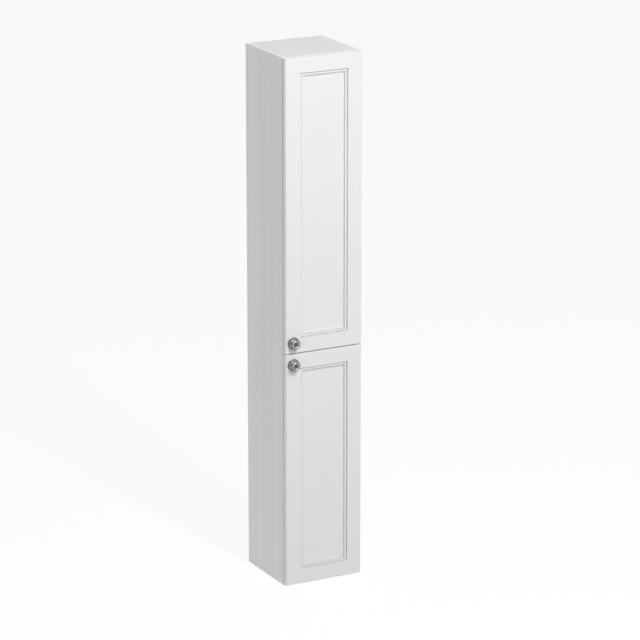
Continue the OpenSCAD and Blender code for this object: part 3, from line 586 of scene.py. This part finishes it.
def makePlacedCopies():
    tree, enter, leave = newTree(
        "placedCopies", "GeometryNodeTree",
        {"Geometry": ("Geometry", None), "Part": ("Object", None), "Turn": ("Float", 0.0),
         "Seed": ("Int", 3), "Finish": ("Material", None)}, {"Geometry": "Geometry"})
    part = addNode(tree, "GeometryNodeObjectInfo", {"Object": enter["Part"]}).outputs["Geometry"]
    aim = addNode(tree, "GeometryNodeInputNamedAttribute", {0: "aim"},
                  data_type="FLOAT_VECTOR").outputs[0]
    stand = addNode(tree, "GeometryNodeInputNamedAttribute", {0: "stand"},
                    data_type="FLOAT_VECTOR").outputs[0]
    facing = addNode(tree, "FunctionNodeAxesToRotation", {0: aim, 1: stand},
                     primary_axis="Z", secondary_axis="X").outputs[0]
    chance = addNode(tree, "FunctionNodeRandomValue",
                     {"Seed": enter["Seed"]}, data_type="FLOAT").outputs[1]
    spin = addNode(tree, "FunctionNodeAxisAngleToRotation",
                   {"Axis": (0, 0, 1),
                    "Angle": addMath(tree, "MULTIPLY", chance, enter["Turn"])}).outputs[0]
    turned = addNode(tree, "FunctionNodeRotateRotation",
                     {"Rotation": facing, "Rotate By": spin}, rotation_space="LOCAL").outputs[0]
    copies = addNode(tree, "GeometryNodeInstanceOnPoints",
                     {"Points": enter["Geometry"], "Instance": part,
                      "Rotation": turned}).outputs[0]
    setOutputs(tree, leave, {"Geometry": addFinish(tree, copies, enter["Finish"])})
    return tree


# Geometry Nodes: four mitred lengths of moulding round an opening, from one profile

def makeMitredMoulding():
    tree, enter, leave = newTree(
        "mitredMoulding", "GeometryNodeTree",
        {"Geometry": ("Geometry", None), "Width": ("Float", 0.15), "Height": ("Float", 0.7),
         "Mitre Gap": ("Float", 0.07 * mm), "Seat": ("Vector", (0, 0, 0)),
         "Crease Angle": ("Float", 0.5), "Finish": ("Material", None)},
        {"Geometry": "Geometry"})
    spot = addNode(tree, "ShaderNodeSeparateXYZ",
                   {0: addNode(tree, "GeometryNodeInputPosition").outputs[0]}).outputs
    sticks = []
    for length, across, turn in (("Width", "Height", 0.0), ("Height", "Width", math.pi / 2)):
        reach = addNode(tree, "ShaderNodeCombineXYZ", {0: enter[length]}).outputs[0]
        longer = addNode(tree, "GeometryNodeExtrudeMesh",
                         {"Mesh": enter["Geometry"], "Offset": reach, "Individual": False},
                         mode="FACES").outputs["Mesh"]
        end = addNode(tree, "GeometryNodeFlipFaces", {0: enter["Geometry"]}).outputs[0]
        whole = addNode(tree, "GeometryNodeJoinGeometry")
        tree.links.new(longer, whole.inputs[0])
        tree.links.new(end, whole.inputs[0])
        shut = addNode(tree, "GeometryNodeMergeByDistance",
                       {"Geometry": whole.outputs[0], "Distance": 0.001 * mm}).outputs[0]
        far = addMath(tree, "GREATER_THAN", spot[0], 0.01)
        side = addMath(tree, "SUBTRACT", addMath(tree, "MULTIPLY", far, 2.0), 1.0)
        inset = addMath(tree, "ADD", spot[1], enter["Mitre Gap"])
        shear = addMath(tree, "SUBTRACT", addMath(tree, "SUBTRACT", spot[0],
                                                  addMath(tree, "MULTIPLY", side, inset)),
                        addMath(tree, "MULTIPLY", enter[length], 0.5))
        down = addMath(tree, "SUBTRACT", spot[1], addMath(tree, "MULTIPLY", enter[across], 0.5))
        moved = addNode(tree, "ShaderNodeCombineXYZ", {0: shear, 1: down, 2: spot[2]}).outputs[0]
        mitred = addNode(tree, "GeometryNodeSetPosition",
                         {"Geometry": shut, "Position": moved}).outputs[0]
        for extra in (0.0, math.pi):
            sticks.append(addNode(tree, "GeometryNodeTransform",
                                  {"Geometry": mitred,
                                   "Rotation": (0, 0, turn + extra)}).outputs[0])
    ring = addNode(tree, "GeometryNodeJoinGeometry")
    for stick in sticks:
        tree.links.new(stick, ring.inputs[0])
    placed = addNode(tree, "GeometryNodeTransform",
                     {"Geometry": ring.outputs[0], "Translation": enter["Seat"],
                      "Rotation": (math.pi / 2, 0, 0)}).outputs[0]
    creased = addCreases(tree, placed, enter["Crease Angle"])
    setOutputs(tree, leave, {"Geometry": addFinish(tree, creased, enter["Finish"])})
    return tree


turnedPart = makeTurnedPart()
placedCopies = makePlacedCopies()
mitredMoulding = makeMitredMoulding()


def arcPoints(centre, radius, first, last, steps=6):
    found = []
    for i in range(steps + 1):
        a = math.radians(first + (last - first) * i / steps)
        found.append((centre[0] + radius * math.cos(a), centre[1] + radius * math.sin(a)))
    return found


def turnMesh(points, finish, segments=48, recess=None, reliefs=None, crease=0.6):
    mesh = bpy.data.meshes.new("profile")
    mesh.from_pydata([(max(r, 0) * mm, 0, z * mm) for r, z in points],
                     [(i, i + 1) for i in range(len(points) - 1)], [])
    marks = mesh.attributes.new("relief", "FLOAT", "POINT")
    marks.data.foreach_set("value", reliefs or [1.0] * len(points))
    settings = {"Segments": segments, "Finish": finish, "Crease Angle": crease}
    if recess:
        settings.update({"Cut Recess": True, "Recess Reach": recess[0] * mm,
                         "Recess Width": recess[1] * mm, "Recess Depth": recess[2] * mm})
    return growMesh(turnedPart, mesh, settings)


def placeMesh(partMesh, places, finish, turn=0.0, seedValue=3):
    part = seedObject(partMesh)
    mesh = bpy.data.meshes.new("places")
    mesh.from_pydata([p[0] for p in places], [], [])
    for label, i in (("aim", 1), ("stand", 2)):
        ways = mesh.attributes.new(label, "FLOAT_VECTOR", "POINT")
        ways.data.foreach_set("vector", [c for p in places for c in p[i]])
    made = growMesh(placedCopies, mesh, {"Part": part, "Turn": turn, "Seed": seedValue,
                                         "Finish": finish})
    bpy.data.objects.remove(part)
    return made


def placesOn(node, axis, sign=None, keep=None):
    found = []
    for low, high in solidBoxes(node):
        centre = (low + high) / 2
        way = sign if sign is not None else (-1 if centre[axis] > 0 else 1)
        if keep and not keep(low, high):
            continue
        point = centre.copy()
        point[axis] = high[axis] if way > 0 else low[axis]
        aim, stand = Vector((0, 0, 0)), Vector((0, 0, 1)) if axis != 2 else Vector((1, 0, 0))
        aim[axis] = way
        found.append((point, aim, stand))
    return found


# Mouldings round the doors' flat panels: u runs in from the frame, h stands off the panel
mouldingLook = {
    "profile": [(0, 0), (8.1, 0), (8.1, 1.3), (9.2, 1.3), (9.5, 1.6)]
    + arcPoints((9.0, 4.5), 0.5, 0, 90, 4)
    + [(7.8, 1.9), (6.8, 1.9), (8.0, 5.0), (2.3, 5.0), (2.2, 4.8), (2.2, 1.0), (0, 1.0)],
}
for side in ("upper", "lower"):
    low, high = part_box(f"{side}_door_beads")
    mesh = bpy.data.meshes.new("profile")
    mesh.from_pydata([(0, u * mm, h * mm) for u, h in mouldingLook["profile"]], [],
                     [list(range(len(mouldingLook["profile"])))])
    seat = Vector((0, high.y, (low.z + high.z) / 2))
    made = growMesh(mitredMoulding, mesh,
                    {"Width": high.x - low.x, "Height": high.z - low.z, "Seat": seat,
                     "Finish": doorPaint})
    addPiece(f"{side}Moulding", made, f"{side}_door", "door_board", f"{side}_door_beads")
print("mouldings made")

# Knobs and roses, r from the axis and z from the door's face, mm
knobLook = {
    "rose": [(2.2, 0), (18.8, 0), (18.8, 1.2)] + arcPoints((17.8, 1.2), 1.0, 0, 90, 5)
    + [(17.2, 2.2), (16.9, 1.9), (16.5, 1.8)] + arcPoints((15.6, 2.0), 0.9, 0, 110, 6)
    + [(15.0 - 6.6 * math.sin(a), 4.7 - 2.6 * math.cos(a))
       for a in (0.0, 0.22, 0.44, 0.66, 0.88, 1.1, 1.3)]
    + [(8.2, 4.6), (7.9, 5.0), (2.2, 5.0), (2.2, 0)],
    # where knob and rose darken: patina in the hollows, painted shade on the head's outer side wall
    "roseValleys": [(18.9, 0), (18.9, 0.8), (16.6, 1.8), (14.9, 2.1), (8.6, 4.2), (7.0, 5.0),
                    (4.5, 5.0)],
    "knob": [(0, 5.0), (6.5, 5.0), (6.5, 6.0), (6.1, 6.5), (5.6, 8.0)]
    + arcPoints((9.6, 10.1), 4.0, 180, 110, 7) + [(12.3, 14.1)]
    + arcPoints((12.55, 16.1), 2.2, 285, 360, 6) + arcPoints((13.65, 17.4), 1.1, 0, 90, 5)
    + [(13.4, 18.4), (13.1, 18.3)] + arcPoints((10.1, 17.45), 3.05, 18, 150, 14)
    + [(7.2, 18.7), (6.9, 18.3), (6.0, 18.0), (4.5, 17.9), (2.5, 17.9), (0, 17.9)],
    "knobValleys": [(6.3, 6.2), (5.6, 8.3), (7.0, 12.3), (10.5, 13.9), (14.85, 16.2),
                    (14.85, 17.4), (13.3, 18.4), (6.9, 18.3), (4.5, 17.9), (2.5, 17.9),
                    (0, 17.9)],
    "roseSpread": 1.1,  # how far the dark patina and painted shade reach out of a dark place, mm
    "knobSpread": 2.0,
    "valleyWidth": 0.2,
    "roseThick": 5.0,   # the knob stands on the rose, mm
    "roseSegments": 64, "knobSegments": 72,
    "crease": 1.0,
}


def patinaAndShadeOf(points, valleys, spread):
    width = knobLook["valleyWidth"]
    return [min(1.0, min(max(0.0, math.hypot(r - a, z - b) - width) / spread
                         for a, b in valleys)) for r, z in points]


for side in ("upper", "lower"):
    for part, node, stand in (("rose", f"{side}_knob_rose", 0),
                              ("knob", f"{side}_knob", knobLook["roseThick"] * mm)):
        low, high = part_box(node)
        points = knobLook[part]
        reliefs = patinaAndShadeOf(points, knobLook[part + "Valleys"], knobLook[part + "Spread"])
        mesh = turnMesh(points, agedPewter, knobLook[part + "Segments"], reliefs=reliefs,
                        crease=knobLook["crease"])
        middle = (low + high) / 2
        foot = Vector((middle.x, high.y + stand, middle.z))
        made = placeMesh(mesh, [(foot, (0, -1, 0), (0, 0, 1))], agedPewter)
        addPiece(side + part.capitalize(), made, f"{side}_door", "knob_metal", node)
print("knobs made")

# Fasteners: each profile ends at its outer face, z = 0, mm


def threaded(core, crest, low, high, pitch):
    found, z = [], low
    while z + pitch <= high:
        found += [(core, z), (crest, z + pitch * 0.4), (core, z + pitch * 0.8)]
        z += pitch
    return found


def screwProfile(look):
    head, core = look["headRadius"], look["coreRadius"]
    seat = -look["headHeight"]
    return ([(0, -look["length"]), (core * 0.5, -look["length"] + 0.2)]
            + threaded(core, look["crest"], -look["length"] + 0.9, seat - 1.2, look["pitch"])
            + [(core, seat - 0.3), (head - 0.2, seat), (head, seat + 0.2)]
            + arcPoints((head - look["round"], -look["round"]), look["round"], 0, 90, 4)
            + [(0, 0)])


sideScrew = dict(node="side_screws", axis=0, headRadius=4.5, headHeight=2, coreRadius=2.2,
                 crest=3.0, pitch=2.2, round=0.9, recess=(2.4, 1.1, 1.6))
cupScrew = dict(axis=1, sign=1, length=12.8, headRadius=3.3, headHeight=0.84, coreRadius=1.2,
                crest=1.75, pitch=1.4, round=0.4, recess=(1.7, 0.8, 0.6))
knobScrew = dict(axis=1, sign=1, length=33.6, headRadius=4.0, headHeight=1.6, coreRadius=1.7,
                 crest=2.0, pitch=0.7, round=0.8, recess=(2.3, 1.0, 1.1))
fasteners = {
    "hingePlateScrews": dict(sideScrew, length=17, longest=20),
    "hangerScrews": dict(sideScrew, length=28, shortest=20),
    "armScrews": dict(node="arm_screws", axis=0, sign=-1, length=8.5, headRadius=3.2,
                      headHeight=1.5, coreRadius=1.5, crest=1.9, pitch=0.8, round=0.6,
                      recess=(1.8, 0.9, 1.2)),
    "upperCupScrews": dict(cupScrew, node="upper_cup_screws", body="upper_door"),
    "lowerCupScrews": dict(cupScrew, node="lower_cup_screws", body="lower_door"),
    "upperKnobScrew": dict(knobScrew, node="upper_knob_screw", body="upper_door"),
    "lowerKnobScrew": dict(knobScrew, node="lower_knob_screw", body="lower_door"),
}
screwSegments = 20
for name, look in fasteners.items():
    reach = {"low": look.get("shortest", 0) * mm, "high": look.get("longest", 1000) * mm}
    places = placesOn(look["node"], look["axis"], look.get("sign"),
                      lambda low, high: reach["low"] <= (high - low)[look["axis"]] < reach["high"])
    mesh = turnMesh(screwProfile(look), zincSteel, screwSegments, look["recess"])
    made = placeMesh(mesh, places, zincSteel, turn=math.pi / 2)
    addPiece(name, made, look.get("body", "carcass"), "zinc_steel", look["node"])

camLook = {
    "profile": [(0, -12.5), (7.2, -12.5), (7.5, -12.2), (7.5, -0.3), (7.2, 0), (6.3, 0),
                (6.0, -0.5), (0, -0.5)],
    "recess": (3.6, 1.5, 3.2),
    "segments": 40,
    "turn": 0.6,        # how far one lock may be turned from the next, radians
}
mesh = turnMesh(camLook["profile"], zincSteel, camLook["segments"], camLook["recess"])
made = placeMesh(mesh, placesOn("cam_locks", 2, -1), zincSteel, turn=camLook["turn"])
addPiece("camLocks", made, "carcass", "zinc_steel", "cam_locks")

adjusterLook = {
    "profile": [(0, -18), (2.2, -18)] + threaded(2.4, 3.0, -17.6, -2.5, 1.0)
    + [(2.9, -2.2), (3.0, -0.3), (2.7, 0), (0, 0)],
    "recess": (1.9, 0.8, 1.6),
    "segments": 24,
}
mesh = turnMesh(adjusterLook["profile"], zincSteel, adjusterLook["segments"],
                adjusterLook["recess"])
made = placeMesh(mesh, placesOn("hanger_adjusters", 1, -1), zincSteel, turn=math.pi / 2)
addPiece("hangerAdjusters", made, "carcass", "zinc_steel", "hanger_adjusters")

bumperLook = {
    "profile": [(0, -1.7), (4.0, -1.7), (4.0, -1.2)] + arcPoints((2.4, -1.4), 1.4, 20, 90, 5)
    + [(0, 0)],
    "segments": 28,
}
for side in ("upper", "lower"):
    mesh = turnMesh(bumperLook["profile"], clearPad, bumperLook["segments"])
    made = placeMesh(mesh, placesOn(f"{side}_bumpers", 1, 1), clearPad)
    addPiece(f"{side}Bumpers", made, f"{side}_door", "bumper_plastic", f"{side}_bumpers")

pinLook = {
    "profile": [(0, -9), (2.1, -9), (2.5, -8.5), (2.5, -0.1), (3.4, 0), (3.4, 0.8), (2.5, 0.9),
                (2.5, 7.6), (2.1, 8), (0, 8)],
    "seat": (7.0, 1.6, 8.0),    # width, thickness and length of the flat seat
    "arris": 0.35,
    "radius": 2.5,
    "segments": 28,
}


def makeShelfPin():
    shape = bmesh.new()
    shape.from_mesh(turnMesh(pinLook["profile"], hingeNickel, pinLook["segments"]))
    width, thick, length = pinLook["seat"]
    top = pinLook["radius"]
    seat = bmesh.ops.create_cube(shape, size=1.0, matrix=Matrix.Translation(
        Vector((top - thick / 2, 0, length / 2)) * mm)
        @ Matrix.Diagonal((thick * mm, width * mm, length * mm, 1)))
    edges = list({e for v in seat["verts"] for e in v.link_edges})
    bmesh.ops.bevel(shape, geom=edges, offset=pinLook["arris"] * mm, segments=2,
                    affect="EDGES", profile=0.5)
    mesh = bpy.data.meshes.new("shelfPin")
    shape.to_mesh(mesh)
    shape.free()
    return mesh


places = []
for low, high in solidBoxes("shelf_pins"):
    way = -1 if low.x > 0 else 1
    length = pinLook["seat"][2] * mm
    wall = low.x + length if way < 0 else high.x - length
    places.append((Vector((wall, (low.y + high.y) / 2, high.z - pinLook["radius"] * mm)),
                   (way, 0, 0), (0, 0, 1)))
made = placeMesh(makeShelfPin(), places, hingeNickel)
addPiece("shelfPins", made, "carcass", "hinge_nickel", "shelf_pins")

for node, finish in (("cam_bolts", zincSteel), ("dowels", beechWood),
                     ("upper_hinge_pins", zincSteel), ("lower_hinge_pins", zincSteel)):
    cadNodes[node].data.materials.clear()
    cadNodes[node].data.materials.append(finish)
print("fittings made")


# Floor, light and camera

floorLook = {"size": 60.0, "drop": 0.3 * mm, "tone": 0.55, "share": 0.25, "glow": 0.89}


def makeFloor():
    mesh = bpy.data.meshes.new("studioFloor")
    half = floorLook["size"] / 2
    z = cadLow.z - floorLook["drop"]
    mesh.from_pydata([(-half, -half, z), (half, -half, z), (half, half, z), (-half, half, z)],
                     [], [(0, 1, 2, 3)])
    material = bpy.data.materials.new("studioFloor")
    material.use_nodes = True
    tree = material.node_tree
    tree.nodes.clear()
    tone = floorLook["tone"]
    matt = addNode(tree, "ShaderNodeBsdfDiffuse", {"Color": (tone, tone, tone, 1)})
    share = tone * floorLook["share"]
    seen = addNode(tree, "ShaderNodeAddShader",
                   {0: addNode(tree, "ShaderNodeBsdfDiffuse",
                               {"Color": (share, share, share, 1)}).outputs[0],
                    1: addNode(tree, "ShaderNodeEmission",
                               {"Color": (1, 1, 1, 1), "Strength": floorLook["glow"]}).outputs[0]})
    top = addNode(tree, "ShaderNodeMixShader",
                  {0: seenRays(tree), 1: matt.outputs[0], 2: seen.outputs[0]})
    back = addNode(tree, "ShaderNodeNewGeometry").outputs["Backfacing"]
    whole = addNode(tree, "ShaderNodeMixShader",
                    {0: back, 1: top.outputs[0],
                     2: addNode(tree, "ShaderNodeBsdfTransparent").outputs[0]})
    addNode(tree, "ShaderNodeOutputMaterial", {"Surface": whole.outputs[0]})
    mesh.materials.append(material)
    floor = bpy.data.objects.new("studioFloor", mesh)
    scene.collection.objects.link(floor)


makeFloor()

lightLook = {
    "ambient": 1.38,    # at the horizon, fading to nothing overhead
    "fade": 3.0,
    "rear": 0.6,        # how much stronger it is behind the cabinet, and weaker before it
    "keyPlace": (0.12, -3.9, 4.3), "keyAim": (0.0, -0.25, 1.1), "keySize": (0.45, 3.0),
    "keyPower": 159.0,
}


def makeLight():
    world = bpy.data.worlds.new("studio")
    scene.world = world
    world.use_nodes = True
    tree = world.node_tree
    sky = tree.nodes["Background"]
    way = addNode(tree, "ShaderNodeTexCoord").outputs["Generated"]
    ways = addNode(tree, "ShaderNodeSeparateXYZ", {0: way}).outputs
    level = addMath(tree, "SUBTRACT", 1.0, addMath(tree, "MULTIPLY", ways[2], ways[2]))
    lean = addMath(tree, "ADD", addMath(tree, "MULTIPLY", ways[1], lightLook["rear"]), 1.0)
    soft = addMath(tree, "MULTIPLY", addMath(tree, "POWER", level, lightLook["fade"]),
                   addMath(tree, "MULTIPLY", lean, lightLook["ambient"]))
    strength = addNode(tree, "ShaderNodeMix", {0: seenRays(tree), 2: soft, 3: 1.0},
                       data_type="FLOAT").outputs[0]
    sky.inputs["Color"].default_value = (1, 1, 1, 1)
    tree.links.new(strength, sky.inputs["Strength"])
    lamp = bpy.data.lights.new("key", "AREA")
    lamp.shape, lamp.energy = "ELLIPSE", lightLook["keyPower"]
    lamp.size, lamp.size_y = lightLook["keySize"]
    key = bpy.data.objects.new("key", lamp)
    key.location = lightLook["keyPlace"]
    way = Vector(lightLook["keyAim"]) - Vector(lightLook["keyPlace"])
    key.rotation_euler = way.to_track_quat("-Z", "Y").to_euler()
    key.visible_camera = False
    scene.collection.objects.link(key)


makeLight()

cameraLook = {
    "sensor": 36.0, "lens": 188.69, "nearest": 0.1, "farthest": 200.0,
    "place": (-4.4171, -8.5546, 3.5674), "yaw": 0.4876, "dip": 0.2851,
}
camera = bpy.data.cameras.new("view")
camera.sensor_width, camera.lens = cameraLook["sensor"], cameraLook["lens"]
camera.clip_start, camera.clip_end = cameraLook["nearest"], cameraLook["farthest"]
viewer = bpy.data.objects.new("view", camera)
viewer.location = cameraLook["place"]
viewer.rotation_euler = (math.pi / 2 - cameraLook["dip"], 0, -cameraLook["yaw"])
scene.collection.objects.link(viewer)
scene.camera = viewer
scene.view_settings.view_transform = "Standard"
print("floor, light and camera made")
